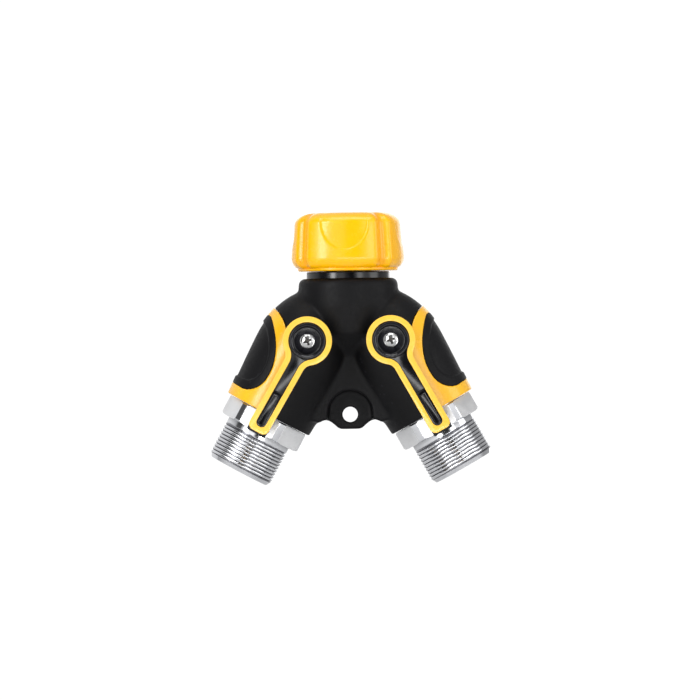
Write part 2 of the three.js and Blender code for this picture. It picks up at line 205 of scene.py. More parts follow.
def prism(name, outline, front, back):  # outline is (x, z) in mm, drawn out along Y
    obj = outlineLoop(name, outline, lambda p: (p[0] * mm, front * mm, p[1] * mm))
    editMode(obj)
    bpy.ops.mesh.select_all(action="SELECT")
    bpy.ops.mesh.edge_face_add()
    bpy.ops.mesh.extrude_region_move(TRANSFORM_OT_translate={"value": (0, (back - front) * mm, 0)})
    objectMode()
    return cleaned(obj)


def slab(name, outline, reach):  # a prism that reaches as far to the back as to the front
    return prism(name, outline, -reach, reach)


def roundBar(name, radius, low, high, steps):
    return spun(name, [(0, low), (radius, low), (radius, high), (0, high)], steps)


def brick(name, place, size):
    bpy.ops.object.select_all(action="DESELECT")
    bpy.ops.mesh.primitive_cube_add(size=1, location=[part * mm for part in place])
    obj = named(name)
    obj.scale = [part * mm for part in size]
    return settle(obj)


def discard(*objects):
    for obj in objects:
        bpy.data.objects.remove(obj)


def onLeg(obj, side):  # local +Z goes down the leg from the valve centre
    obj.rotation_euler = (0, side * (math.pi - layout["lean"]), 0)
    obj.location = (side * layout["hubX"] * mm, 0, layout["hubZ"] * mm)
    return settle(obj)


def onHub(obj, side):  # local +Z points to the front from the valve centre
    obj.rotation_euler = (math.pi / 2, 0, 0)
    obj.location = (side * layout["hubX"] * mm, 0, layout["hubZ"] * mm)
    return settle(obj)


def leverTurn(obj, side, rest):  # a lever drawn with its arm along +X, laid down its leg
    turn = math.pi / 2 - layout["lean"] - rest
    obj.rotation_euler = (0, turn if side > 0 else math.pi - turn, 0)
    obj.location = (side * layout["hubX"] * mm, 0, layout["hubZ"] * mm)
    return settle(obj)


def coiledRidge(name, section, pitch, turns, steps, base):  # a section wound up the Z axis
    obj = outlineLoop(name, section, lambda p: (p[0] * mm, 0, (p[1] + base) * mm))
    modify(obj, "SCREW", axis="Z", angle=2 * math.pi, screw_offset=pitch * mm, iterations=turns,
           steps=steps, render_steps=steps, use_merge_vertices=False)
    editMode(obj)
    bpy.ops.mesh.select_mode(type="EDGE")
    bpy.ops.mesh.select_all(action="DESELECT")
    bpy.ops.mesh.select_non_manifold(extend=False)
    bpy.ops.mesh.fill()
    bpy.ops.mesh.select_mode(type="VERT")
    objectMode()
    return cleaned(obj)


def finishPiece(obj, name, body, nodes, material):
    obj.name = name
    obj.data.name = name
    obj.data.materials.clear()
    obj.data.materials.append(material)
    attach(obj, body)
    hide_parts(*nodes)
    return obj


# materials
def mathNode(tree, operation, first, second=None):  # second is a socket or a number
    node = tree.nodes.new("ShaderNodeMath")
    node.operation = operation
    tree.links.new(first, node.inputs[0])
    if isinstance(second, (int, float)):
        node.inputs[1].default_value = second
    elif second is not None:
        tree.links.new(second, node.inputs[1])
    return node.outputs[0]


def rangeNode(tree, value, fromLow, fromHigh, low, high):
    node = tree.nodes.new("ShaderNodeMapRange")
    node.inputs["From Min"].default_value = fromLow
    node.inputs["From Max"].default_value = fromHigh
    node.inputs["To Min"].default_value = low
    node.inputs["To Max"].default_value = high
    tree.links.new(value, node.inputs["Value"])
    return node.outputs["Result"]


class Recipe:
    def __init__(self, name, colour, roughness, metallic=0.0):
        self.material = bpy.data.materials.new(name)
        self.material.use_nodes = True
        self.nodes = self.material.node_tree.nodes
        self.links = self.material.node_tree.links
        self.shader = self.nodes["Principled BSDF"]
        self.shader.inputs["Base Color"].default_value = (*colour, 1)
        self.shader.inputs["Roughness"].default_value = roughness
        self.shader.inputs["Metallic"].default_value = metallic
        self.place = self.nodes.new("ShaderNodeTexCoord").outputs["Object"]

    def turned(self, angle, stretch):  # the pattern turned about Y and stretched
        mapping = self.nodes.new("ShaderNodeMapping")
        mapping.inputs["Rotation"].default_value = (0, angle, 0)
        self.links.new(self.place, mapping.inputs["Vector"])
        scaled = self.nodes.new("ShaderNodeMapping")
        scaled.inputs["Scale"].default_value = stretch
        self.links.new(mapping.outputs["Vector"], scaled.inputs["Vector"])
        return scaled.outputs["Vector"]

    def noise(self, scale, detail=3.0, roughness=0.55, vector=None):
        node = self.nodes.new("ShaderNodeTexNoise")
        node.inputs["Scale"].default_value = scale
        node.inputs["Detail"].default_value = detail
        node.inputs["Roughness"].default_value = roughness
        self.links.new(vector or self.place, node.inputs["Vector"])
        return node.outputs["Fac"]

    def spread(self, value, low, high, fromLow=0.3, fromHigh=0.7):
        return rangeNode(self.material.node_tree, value, fromLow, fromHigh, low, high)

    def tint(self, value, stops):
        node = self.nodes.new("ShaderNodeValToRGB")
        ramp = node.color_ramp.elements
        while len(ramp) < len(stops):
            ramp.new(0.5)
        for element, (position, colour) in zip(ramp, stops):
            element.position = position
            element.color = (*colour, 1)
        self.links.new(value, node.inputs["Fac"])
        return node.outputs["Color"]

    def overlay(self, amount, first, second):
        node = self.nodes.new("ShaderNodeMix")
        node.data_type = "RGBA"
        self.links.new(amount, node.inputs[0])
        self.links.new(first, node.inputs[6])
        if isinstance(second, tuple):
            node.inputs[7].default_value = (*second, 1)
        else:
            self.links.new(second, node.inputs[7])
        return node.outputs[2]

    def edges(self, low, high):  # 1 on sharp outer edges, which get a painted highlight; 0 elsewhere
        geometry = self.nodes.new("ShaderNodeNewGeometry")
        return self.spread(geometry.outputs["Pointiness"], 0, 1, low, high)

    def hollowShadeMask(self, low, high):  # 1 down in grooves and recesses, which get painted shade; 0 elsewhere
        geometry = self.nodes.new("ShaderNodeNewGeometry")
        return self.spread(geometry.outputs["Pointiness"], 1, 0, low, high)

    def valleys(self, count, turn, half):  # 1 along the upright valleys between the lobes round Z, where painted shade goes
        tree = self.material.node_tree
        split = self.nodes.new("ShaderNodeSeparateXYZ")
        self.links.new(self.place, split.inputs["Vector"])
        angle = mathNode(tree, "ARCTAN2", split.outputs["Y"], split.outputs["X"])
        positive = mathNode(tree, "ADD", angle, 2 * math.pi - turn)
        share = mathNode(tree, "FRACT", mathNode(tree, "MULTIPLY", positive, count / (2 * math.pi)))
        offset = mathNode(tree, "ABSOLUTE", mathNode(tree, "SUBTRACT", share, 0.5))
        width = half * count / 360
        return self.spread(offset, 1, 0, width * 0.35, width)

    def bump(self, height, strength, distance, after=None):
        node = self.nodes.new("ShaderNodeBump")
        node.inputs["Strength"].default_value = strength
        node.inputs["Distance"].default_value = distance * mm
        self.links.new(height, node.inputs["Height"])
        if after is not None:
            self.links.new(after, node.inputs["Normal"])
        return node.outputs["Normal"]

    def feed(self, **sockets):
        for key, value in sockets.items():
            socket = self.shader.inputs[{"colour": "Base Color", "roughness": "Roughness",
                                         "normal": "Normal"}[key]]
            self.links.new(value, socket)
        return self.material

    def fixed(self, **sockets):
        for key, value in sockets.items():
            self.shader.inputs[key.replace("_", " ")].default_value = value
        return self


# groove is the deeper colour painted into hollows, and into the valleys given, as painted shade
def yellowPlastic(name, deep, light, groove, valleys=None):
    r = Recipe(name, deep, 0.24).fixed(IOR=1.42, Coat_Weight=0.2, Coat_Roughness=0.12)
    colour = r.tint(r.noise(40, 2), [(0.3, deep), (0.7, light)])
    if valleys:
        # the valleys between the lobes are painted a deeper orange: painted shade
        colour = r.overlay(r.valleys(*valleys), colour, groove)
    # grooves and recesses are painted a deeper orange: painted shade
    colour = r.overlay(r.hollowShadeMask(0.42, 0.49), colour, groove)
    rough = r.spread(r.noise(380, 4), 0.2, 0.3)
    grain = r.bump(r.noise(5200, 2), 0.04, 0.04)
    ripple = r.bump(r.noise(140, 2), 0.05, 0.2, grain)
    return r.feed(colour=colour, roughness=rough, normal=ripple)


def softBlack(name):
    r = Recipe(name, (0.004, 0.004, 0.005), 0.5).fixed(IOR=1.25)
    cloud = r.tint(r.noise(55, 3), [(0.35, (0.0013, 0.0013, 0.0017)), (0.65, (0.0028, 0.0028, 0.0036))])
    # the sharp edges are painted lighter: a painted highlight
    colour = r.overlay(r.edges(0.55, 0.68), cloud, (0.013, 0.013, 0.016))
    rough = r.spread(r.noise(700, 4), 0.44, 0.58)
    grain = r.bump(r.noise(6500, 3, 0.65), 0.2, 0.05)
    soft = r.bump(r.noise(260, 2), 0.05, 0.3, grain)
    return r.feed(colour=colour, roughness=rough, normal=soft)


def glossBlack(name, roughLow, roughHigh, bend=1.22):
    r = Recipe(name, (0.003, 0.003, 0.004), roughLow).fixed(IOR=bend, Coat_Weight=0.03, Coat_Roughness=0.05)
    cloud = r.tint(r.noise(90, 3), [(0.3, (0.0012, 0.0012, 0.002)), (0.7, (0.0026, 0.0026, 0.0038))])
    # the sharp edges are painted lighter: a painted highlight
    colour = r.overlay(r.edges(0.56, 0.66), cloud, (0.01, 0.01, 0.013))
    rubbed = r.spread(r.noise(500, 3), roughLow, roughHigh)
    ripple = r.bump(r.noise(180, 2), 0.03, 0.12)
    return r.feed(colour=colour, roughness=rubbed, normal=ripple)


def turnedMetal(name, dark, light, side, roughLow, roughHigh, hollowShade=0.35):
    r = Recipe(name, light, roughLow, 1.0)
    along = r.turned(side * (math.pi - layout["lean"]), (1, 1, 60)) if side else r.turned(0, (1, 1, 60))
    lines = r.noise(70, 4, 0.6, along)
    cloud = r.tint(r.noise(120, 4), [(0.3, dark), (0.7, light)])
    colour = r.overlay(r.spread(lines, 0, 0.25), cloud, dark)
    # hollows are painted darker: painted shade
    deep = tuple(c * hollowShade for c in dark)
    colour = r.overlay(r.hollowShadeMask(0.42, 0.49), colour, deep)
    rough = r.spread(r.noise(420, 4), roughLow, roughHigh)
    marks = r.bump(lines, 0.06, 0.03)
    pits = r.bump(r.noise(2600, 3), 0.03, 0.02, marks)
    return r.feed(colour=colour, roughness=rough, normal=pits)


def rubberBlack(name):
    r = Recipe(name, (0.012, 0.012, 0.012), 0.8)
    colour = r.tint(r.noise(300, 4), [(0.3, (0.009, 0.009, 0.009)), (0.7, (0.022, 0.022, 0.021))])
    rough = r.spread(r.noise(900, 4), 0.66, 0.88)
    return r.feed(colour=colour, roughness=rough, normal=r.bump(r.noise(3800, 3), 0.3, 0.06))


def castMetal(name):
    r = Recipe(name, (0.42, 0.42, 0.41), 0.5, 1.0)
    colour = r.tint(r.noise(160, 4), [(0.3, (0.33, 0.33, 0.32)), (0.7, (0.48, 0.48, 0.47))])
    rough = r.spread(r.noise(500, 4), 0.42, 0.62)
    return r.feed(colour=colour, roughness=rough, normal=r.bump(r.noise(1500, 4), 0.3, 0.1))


def seatPlastic(name):
    r = Recipe(name, (0.8, 0.79, 0.74), 0.45)
    colour = r.tint(r.noise(200, 3), [(0.3, (0.74, 0.73, 0.67)), (0.7, (0.84, 0.83, 0.79))])
    return r.feed(colour=colour, roughness=r.spread(r.noise(600, 3), 0.38, 0.52),
                  normal=r.bump(r.noise(2500, 2), 0.1, 0.05))


nutTurn = math.radians(-6.5)  # the nut stands a little off square
looks = {
    "nut": yellowPlastic("nutYellow", (0.97, 0.47, 0.0), (1.0, 0.51, 0.001), (0.98, 0.42, 0.0),
                         (4, nutTurn - 0.03, 8.0)),
    "trim": yellowPlastic("trimYellow", (0.93, 0.47, 0.012), (0.97, 0.52, 0.025), (0.85, 0.36, 0.0)),
    # the lever rim is a lighter copy of the yellow plastic: a painted sheen on its front-facing faces
    "rim": yellowPlastic("rimYellowPaintedSheen", (0.90, 0.53, 0.05), (0.96, 0.60, 0.085), (0.80, 0.38, 0.01)),
    "jacket": softBlack("jacketSoftTouch"),
    "pad": softBlack("padSoftTouch"),
    "lever": glossBlack("leverGloss", 0.12, 0.18, 1.42),
    "neck": glossBlack("neckGloss", 0.16, 0.22, 1.5),
    "left": turnedMetal("zincPlateLeft", (0.66, 0.67, 0.69), (0.84, 0.85, 0.87), -1, 0.07, 0.12, 0.12),
    "right": turnedMetal("zincPlateRight", (0.66, 0.67, 0.69), (0.84, 0.85, 0.87), 1, 0.07, 0.12, 0.12),
    # the thread's grooves get a darker metal: painted shade
    "groove": turnedMetal("threadGroovePaintedShade", (0.17, 0.17, 0.185), (0.32, 0.32, 0.34), 0, 0.2, 0.32, 0.4),
    "flat": turnedMetal("milledFlat", (0.80, 0.805, 0.81), (0.93, 0.935, 0.94), 0, 0.38, 0.48, 0.4),
    # the screw's cross gets a much darker, rougher metal: painted shade
    "recess": turnedMetal("screwRecessPaintedShade", (0.03, 0.028, 0.026), (0.11, 0.105, 0.1), 0, 0.25, 0.4, 0.3),
    "ball": turnedMetal("ballChrome", (0.62, 0.62, 0.63), (0.8, 0.8, 0.81), 0, 0.06, 0.14),
    "brass": turnedMetal("brassTurned", (0.46, 0.31, 0.11), (0.68, 0.5, 0.22), 0, 0.24, 0.38),
    "screw": turnedMetal("screwNickel", (0.45, 0.45, 0.45), (0.82, 0.82, 0.81), 0, 0.12, 0.24, 0.06),
    "rubber": rubberBlack("sealRubber"),
    "cast": castMetal("zincCasting"),
    "seat": seatPlastic("seatPlastic"),
}
say("materials")


# camera, lights and floor
studio = {
    "distance": 2.0, "frameWidth": 273 * mm, "sensor": 36.0, "aimX": 0.3 * mm, "aimZ": -53.4 * mm,
    "roll": math.radians(0.9), "floorZ": -0.30, "floorRadius": 1.5,
    # brightness of the studio round the object: degrees from the camera's side, right positive
    "air": ((-180, 0.55), (-150, 0.8), (-125, 0.8), (-108, 0.72), (-92, 0.55), (-83, 0.10), (-63, 0.08),
            (-52, 1.0), (-12, 1.25), (-5, 0.05), (17, 0.02), (24, 1.05), (58, 0.9), (76, 0.35),
            (112, 0.4), (150, 0.4), (180, 0.55)),
    "airTop": 2.0, "cool": 1.01,  # the brightest level the air may name, and its slight blue
    "overhead": 1.1, "underfoot": 0.9, "softLight": 0.58, "backdrop": 1.05,
}
lights = {  # place, height it aims at, width, height and power, in metres and watts
    "leftSoftbox": ((-0.78, -0.85, 0.22), -0.05, 0.26, 1.0, 7.4),
    "rightSoftbox": ((0.62, -0.95, 0.10), -0.05, 0.28, 0.9, 2.1),
    "rightFill": ((1.05, -0.25, 0.10), -0.05, 0.5, 0.8, 3.0),
    "backFill": ((0.2, 1.3, 0.15), -0.05, 1.2, 0.8, 3.0),
    "lowFill": ((0.1, -1.0, -0.24), -0.04, 0.9, 0.1, 2.2),
    "topSoftbox": ((0, -0.20, 0.95), -0.05, 0.8, 0.5, 4.0),
}


def makeCamera():
    s = studio
    data = bpy.data.cameras.new("camera")
    data.sensor_width = s["sensor"]
    data.lens = s["sensor"] * s["distance"] / s["frameWidth"]
    data.clip_end = 50
    camera = bpy.data.objects.new("camera", data)
    bpy.context.scene.collection.objects.link(camera)
    camera.location = (s["aimX"], -s["distance"], s["aimZ"])
    camera.rotation_euler = (math.pi / 2, s["roll"], 0)
    bpy.context.scene.camera = camera


def areaLight(name, place, aimZ, width, height, power):
    data = bpy.data.lights.new(name, "AREA")
    data.shape = "RECTANGLE"
    data.size = width
    data.size_y = height
    data.energy = power
    light = bpy.data.objects.new(name, data)
    bpy.context.scene.collection.objects.link(light)
    light.location = place
    light.rotation_euler = (Vector((0, 0, aimZ)) - Vector(place)).to_track_quat("-Z", "Y").to_euler()


def makeFloor():
    bpy.ops.object.select_all(action="DESELECT")
    bpy.ops.mesh.primitive_circle_add(vertices=96, radius=studio["floorRadius"], fill_type="NGON",
                                      location=(0, 0, studio["floorZ"]))
    floor = settle(named("floor"))
    material = bpy.data.materials.new("paleFloor")
    material.use_nodes = True
    nodes, links = material.node_tree.nodes, material.node_tree.links
    shader = nodes["Principled BSDF"]
    shader.inputs["Base Color"].default_value = (0.72, 0.72, 0.725, 1)
    noise = nodes.new("ShaderNodeTexNoise")
    noise.inputs["Scale"].default_value = 8
    links.new(nodes.new("ShaderNodeTexCoord").outputs["Object"], noise.inputs["Vector"])
    rough = rangeNode(material.node_tree, noise.outputs["Fac"], 0, 1, 0.85, 0.95)
    links.new(rough, shader.inputs["Roughness"])
    floor.data.materials.append(material)
    floor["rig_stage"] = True


def makeWorld():  # banded air that lights and is reflected, and a plain white backdrop
    s = studio
    world = bpy.data.worlds.new("studioAir")
    bpy.context.scene.world = world
    world.use_nodes = True
    tree = world.node_tree
    nodes, links = tree.nodes, tree.links
    nodes.clear()
    split = nodes.new("ShaderNodeSeparateXYZ")
    links.new(nodes.new("ShaderNodeTexCoord").outputs["Generated"], split.inputs["Vector"])
    towards = mathNode(tree, "MULTIPLY", split.outputs["Y"], -1)
    around = mathNode(tree, "ARCTAN2", split.outputs["X"], towards)
    ramp = nodes.new("ShaderNodeValToRGB")
    links.new(rangeNode(tree, around, -math.pi, math.pi, 0, 1), ramp.inputs["Fac"])
    elements = ramp.color_ramp.elements
    while len(elements) < len(s["air"]):
        elements.new(0.5)
    for element, (degrees, level) in zip(elements, s["air"]):
        element.position = (degrees + 180) / 360
        grey = level / s["airTop"]
        element.color = (grey, grey, grey * s["cool"], 1)
    height = rangeNode(tree, split.outputs["Z"], -1, 1, s["underfoot"], s["overhead"])
    path = nodes.new("ShaderNodeLightPath")
    softer = rangeNode(tree, path.outputs["Is Diffuse Ray"], 0, 1, s["airTop"], s["airTop"] * s["softLight"])
    lit = nodes.new("ShaderNodeBackground")
    links.new(ramp.outputs["Color"], lit.inputs["Color"])
    links.new(mathNode(tree, "MULTIPLY", height, softer), lit.inputs["Strength"])
    seen = nodes.new("ShaderNodeBackground")
    seen.inputs["Color"].default_value = (1, 1, 1, 1)
    seen.inputs["Strength"].default_value = s["backdrop"]
    mix = nodes.new("ShaderNodeMixShader")
    links.new(path.outputs["Is Camera Ray"], mix.inputs[0])
    links.new(lit.outputs[0], mix.inputs[1])
    links.new(seen.outputs[0], mix.inputs[2])
    links.new(mix.outputs[0], nodes.new("ShaderNodeOutputWorld").inputs["Surface"])


makeCamera()
makeWorld()
makeFloor()
for lightName, setting in lights.items():
    areaLight(lightName, *setting)
bpy.context.scene.view_settings.view_transform = "Standard"
bpy.context.scene.view_settings.look = "None"
say("studio")


# swivel nut
nut = {
    "height": 22.6, "turn": nutTurn, "lobeReach": 21.9, "lobeBend": 30.0,
    "grooveDeep": 2.3, "grooveHalf": 6.0, "grooveShape": 1.5, "outlineSteps": 288,
    "foot": (18.5, -17.3, 3.4, 4.4), "shoulder": (13.8, -4.6, 7.2, 4.6),  # centre and reach of each round
    "holdHalf": 9.3, "holdTop": 4.0, "holdMiddle": -4.0, "holdFoot": -14.6, "holdDeep": 0.45,
    "holdTurn": math.radians(3), "holdRoom": (-30, -8), "voxel": 0.34, "blend": 3,
    "lipRadius": 19.5, "lipEdge": 0.4, "lipTop": -21.0, "lipSlope": (1.4, 0.6), "under": -23.5,
    "boreRadius": 13.6, "boreDepth": 17.2, "throat": 9.9, "mouth": 13.9, "mouthDepth": 0.9, "mouthOver": 0.4,
    "threadMinor": 12.55, "threadPitch": 2.2, "threadDepth": 11.2, "threadRunOut": 0.8, "threadTurns": 5,
    "threadRoot": 0.6, "threadRootHalf": 0.95, "threadCrestHalf": 0.3, "threadLift": 0.6,
}


def nutOutline():  # four lobes with a rounded groove between each two
    points = []
    n = nut
    offset = n["lobeBend"] - n["lobeReach"]
    for i in range(n["outlineSteps"]):
        angle = 2 * math.pi * i / n["outlineSteps"]
        fromLobe = (angle + math.pi / 4) % (math.pi / 2) - math.pi / 4
        reach = math.sqrt(n["lobeBend"] ** 2 - (offset * math.sin(fromLobe)) ** 2)
        radius = -offset * math.cos(fromLobe) + reach
        fromGroove = math.degrees(math.pi / 4 - abs(fromLobe))
        if fromGroove < 2 * n["grooveHalf"]:
            fall = 0.5 + 0.5 * math.cos(math.pi * fromGroove / (2 * n["grooveHalf"]))
            radius -= n["grooveDeep"] * fall ** n["grooveShape"]
        points.append((radius * math.cos(angle), radius * math.sin(angle)))
    return points


def quarterRound(centre, start, step):  # an elliptic quarter: radius, height, and the reach of each
    x, z, a, b = centre
    angles = [math.radians(v) for v in range(start, start + 91, step)]
    return [(x + a * math.cos(t), z + b * math.sin(t)) for t in angles]


def nutLevels():  # how far the lobes reach at each height, from the foot up
    return quarterRound(nut["foot"], -90, 10) + quarterRound(nut["shoulder"], 0, 9)


def nutColumn(inset=0):
    levels = [(reach - inset, z) for reach, z in nutLevels()]
    reach, z = levels[0]
    scale = reach / nut["lobeReach"]
    column = outlineLoop("nutColumn", nutOutline(), lambda p: (p[0] * scale * mm, p[1] * scale * mm, z * mm))
    editMode(column)
    bpy.ops.mesh.select_all(action="SELECT")
    bpy.ops.mesh.edge_face_add()
    for nextReach, nextZ in levels[1:]:
        bpy.ops.mesh.extrude_region_move(TRANSFORM_OT_translate={"value": (0, 0, (nextZ - z) * mm)})
        grow = nextReach / reach
        bpy.ops.transform.resize(value=(grow, grow, 1), center_override=(0, 0, nextZ * mm))
        reach, z = nextReach, nextZ
    objectMode()
    return cleaned(column)


def fingerHold(quarter, floor):  # a shallow U-shaped hold, its floor following the lobe
    n = nut
    outline = []
    for i in range(33):
        angle = math.pi * i / 32
        outline.append((n["holdHalf"] * math.cos(angle),
                        n["holdMiddle"] + (n["holdFoot"] - n["holdMiddle"]) * math.sin(angle)))
    outline += [(-n["holdHalf"], n["holdTop"]), (n["holdHalf"], n["holdTop"])]
    tool = prism("fingerHold", outline, *n["holdRoom"])
    tool.rotation_euler = (0, 0, quarter * math.pi / 2 + n["holdTurn"])
    return combine(settle(tool), floor, "DIFFERENCE", keepTool=True)


def makeNut():
    n = nut
    column, floor = nutColumn(), nutColumn(n["holdDeep"])
    for quarter in range(4):
        combine(column, fingerHold(quarter, floor), "DIFFERENCE")
    discard(floor)
    moulded(column, n["voxel"], n["blend"])
    foot, rim, edge = -n["height"], n["lipRadius"], n["lipEdge"]
    inward, down = n["lipSlope"]
    lip = spun("nutLip", [
        (0, foot), (rim - edge, foot), (rim, foot + edge), (rim, n["lipTop"] - down),
        (rim - inward, n["lipTop"]), (0, n["lipTop"]),
    ], 144)
    combine(column, lip, "UNION")
    wide, minor = n["boreRadius"], n["threadMinor"]
    bore = spun("nutBore", [
        (0, n["under"]), (n["throat"], n["under"]), (n["throat"], -n["boreDepth"]), (wide, -n["boreDepth"]),
        (wide, -n["threadDepth"]), (minor, -n["threadDepth"] + n["threadRunOut"]),
        (minor, -n["mouthDepth"]), (n["mouth"], n["mouthOver"]), (n["mouth"], 1), (0, 1),
    ], 128)
    root, crest = n["threadRootHalf"], n["threadCrestHalf"]
    ridge = coiledRidge("nutThread", [
        (minor - n["threadRoot"], -root), (minor - n["threadRoot"], root), (wide, crest), (wide, -crest),
    ], n["threadPitch"], n["threadTurns"], 96, -n["threadDepth"] + n["threadLift"])
    combine(bore, ridge, "UNION")
    combine(column, bore, "DIFFERENCE")
    column.rotation_euler = (0, 0, n["turn"])
    settle(column)
    smoothByAngle(column, 30)
    return finishPiece(column, "swivelNut", "nut", ["swivel_nut"], looks["nut"])


makeNut()
say("swivel nut")


# inlet parts
def ringPiece(name, profile, body, node, look, steps=128):
    obj = spun(name, profile, steps)
    smoothByAngle(obj, 32)
    return finishPiece(obj, name, body, [node], look)


neckRing = {"bore": 9.9, "radius": 16.2, "foot": -27.2, "footEdge": 0.2, "top": -22.9, "topRound": 0.5}
washer = {
    "bore": 8.2, "radius": 13.2, "foot": -14.5, "top": -11.9, "round": 0.3,
    "grooveStart": 10.4, "grooveEnd": 11.6, "grooveSlope": 0.4, "grooveDeep": 0.25,
}
tailpiece = {
    "bore": 7.4, "tube": 9.5, "foot": -33.0, "footEdge": 0.3, "sealLow": -30.6, "sealHigh": -28.6,
    "sealFloor": 8.2, "neckTop": -17.4, "neckFlare": (0.3, 0.5), "flange": 13.0, "flangeEdge": 0.3,
    "flangeLow": -16.9, "flangeTop": -14.8, "boreEdge": 0.5,
}


def makeNeckRing():
    r = neckRing
    bend, edge = r["topRound"], r["footEdge"]
    ringPiece("neckRing", [
        (r["bore"], r["foot"]), (r["radius"] - edge, r["foot"]), (r["radius"], r["foot"] + edge),
        (r["radius"], r["top"] - bend),
        *arcPoints(r["radius"] - bend, r["top"] - bend, bend, 0, 90, 4)[1:], (r["bore"], r["top"]),
    ], "body", "neck_ring", looks["neck"])


def makeWasher():
    w = washer
    bend, rise = w["round"], w["grooveSlope"]
    inner, outer = w["bore"] + bend, w["radius"] - bend
    low, high = w["foot"] + bend, w["top"] - bend
    floor = w["top"] - w["grooveDeep"]
    ringPiece("hoseWasher", [
        (inner, w["foot"]), *arcPoints(outer, low, bend, -90, 0, 3), *arcPoints(outer, high, bend, 0, 90, 3),
        (w["grooveEnd"], w["top"]), (w["grooveEnd"] - rise, floor), (w["grooveStart"] + rise, floor),
        (w["grooveStart"], w["top"]),
        *arcPoints(inner, high, bend, 90, 180, 3), *arcPoints(inner, low, bend, 180, 270, 3)[:-1],
    ], "body", "hose_washer", looks["rubber"])


def makeTailpiece():
    t = tailpiece
    tube, flange, edge = t["tube"], t["flange"], t["flangeEdge"]
    flareOut, flareUp = t["neckFlare"]
    ringPiece("inletTailpiece", [
        (t["bore"], t["foot"]), (tube - t["footEdge"], t["foot"]), (tube, t["foot"] + t["footEdge"]),
        (tube, t["sealLow"]), (t["sealFloor"], t["sealLow"]), (t["sealFloor"], t["sealHigh"]),
        (tube, t["sealHigh"]), (tube, t["neckTop"]), (tube + flareOut, t["neckTop"] + flareUp),
        (flange - edge, t["flangeLow"]), (flange, t["flangeLow"] + edge),
        (flange, t["flangeTop"] - edge), (flange - edge, t["flangeTop"]),
        (t["bore"] + t["boreEdge"], t["flangeTop"]), (t["bore"], t["flangeTop"] - t["boreEdge"]),
    ], "body", "inlet_tailpiece", looks["brass"])


makeNeckRing()
makeWasher()
makeTailpiece()
say("inlet parts")


# jacket, side trims and pads
shell = {
    "collarRadius": 19.4, "collarTop": -25.4, "collarRound": 2.5, "collarFoot": -36,
    "collarCone": [(0, -58), (8, -58), (17.6, -47)],
    "skin": 2.6, "castRadius": 15.2, "castGap": 0.3, "castFrom": -19, "castTo": 6, "castEnd": 34,
    "neckRoom": 16.5, "neckFoot": -30, "neckTop": -24, "endRoom": 26,
    "bossTop": -27, "bossFoot": -44, "stemRoom": 7.3, "stemY": -8,
    "seatRadius": 10.5, "seatY": -18.8, "frontY": -30,
    "webHalf": 10, "archRadius": 8.6, "archZ": -77.6, "archFoot": -92,
    "voxel": 0.5, "blend": 20, "overrun": 5, "proud": 0.35, "dish": 0.3, "seam": 0.12,
    "partVoxel": 0.33, "trimBlend": 3, "padBlend": 6, "halfVoxel": 0.42, "halfBlend": 2,
    "tabHalf": 2.4, "hole": 3.0, "holeZ": -78.5,
    # how far each kind of cutting tool reaches, front and back, from the middle plane
    "through": 20, "areaReach": 30, "roomReach": 40, "dishReach": 42,
    "halfBlock": (140, 60, 90), "halfGap": 0.06, "blockZ": -60,
}
trimLine = [
    (28.4, -37.1), (26.9, -38.8), (25.7, -40.8), (24.7, -43.2), (24.0, -46.0), (23.1, -49), (21.8, -52.5),
    (20.9, -55.5), (20.8, -58.5), (21.8, -61.2), (33, -80.4), (56, -68), (56, -45), (33.5, -32.5),
]
padLine = [
    (30.3, -40.0), (29.5, -42.6), (28.9, -45.6), (28.5, -48.6), (28.4, -51.5), (28.6, -54.4), (29.1, -57.2),
    (29.9, -59.8), (31.1, -62.2), (32.5, -64.4), (34.2, -66.1), (36.0, -67.2), (38.0, -67.8), (39.8, -67.9),
    (41.6, -67.5), (45.6, -65.0), (54, -59.4), (54, -45), (38, -35.5),
]
dishLine = [
    (33.2, -41.8), (32.0, -44.4), (31.2, -48.0), (31.0, -51.5), (31.3, -55.0), (32.3, -58.4),
    (34.0, -61.4), (36.4, -63.6), (39.2, -64.5), (42.2, -63.6), (54, -56.6), (54, -45), (38, -38.4),
]
webLine = [
    (14, -45), (18, -80), (12, -81.6), (11.3, -81.0), (10.5, -80.62), (9.6, -80.5), (8.7, -80.7),
    (7.8, -81.15), (6.2, -82.35), (4.8, -83.75), (4.35, -84.05), (3.8, -84.2),
]


def mirroredLine(points):
    return points + [(-x, z) for x, z in reversed(points)]


def legRadius(t):
    s = layout
    if t < s["widest"]:
        return s["legRadius"] * math.sqrt(max(0.0, 1 - ((t - s["widest"]) / s["capReach"]) ** 2))
    return s["legRadius"] - s["taper"] * ((t - s["widest"]) / (s["legEnd"] - s["widest"])) ** 1.3


def jacketBlank():
    s = shell
    solids = []
    for name, side in sides:
        start, end = layout["widest"] - layout["capReach"], layout["legEnd"]
        steps = [start + (end - start) * i / 44 for i in range(45)]
        wall = [(legRadius(t), t) for t in steps]
        profile = [*wall, (wall[-1][0], end + s["overrun"]), (0, end + s["overrun"])]  # cut to length later
        solids.append(onLeg(spun(f"{name}Leg", profile, 96), side))
    r, top, bend = s["collarRadius"], s["collarTop"], s["collarRound"]
    solids.append(spun("collar", [
        *s["collarCone"], (r, s["collarFoot"]), (r, top - bend),
        *arcPoints(r - bend, top - bend, bend, 0, 90, 6)[1:], (0, top),
    ], 128))
    web = slab("web", mirroredLine(webLine), s["webHalf"])
    bow, foot = s["archRadius"], s["archFoot"]
    line = [(bow, foot), *arcPoints(0, s["archZ"], bow, 0, 180, 24), (-bow, foot)]
    arch = slab("arch", line, s["through"])
    combine(web, arch, "DIFFERENCE")
    solids += [web, slab("tab", mirroredLine(webLine), s["tabHalf"])]
    blank = joined(solids, "jacketBlank")
    return moulded(blank, s["voxel"], s["blend"])


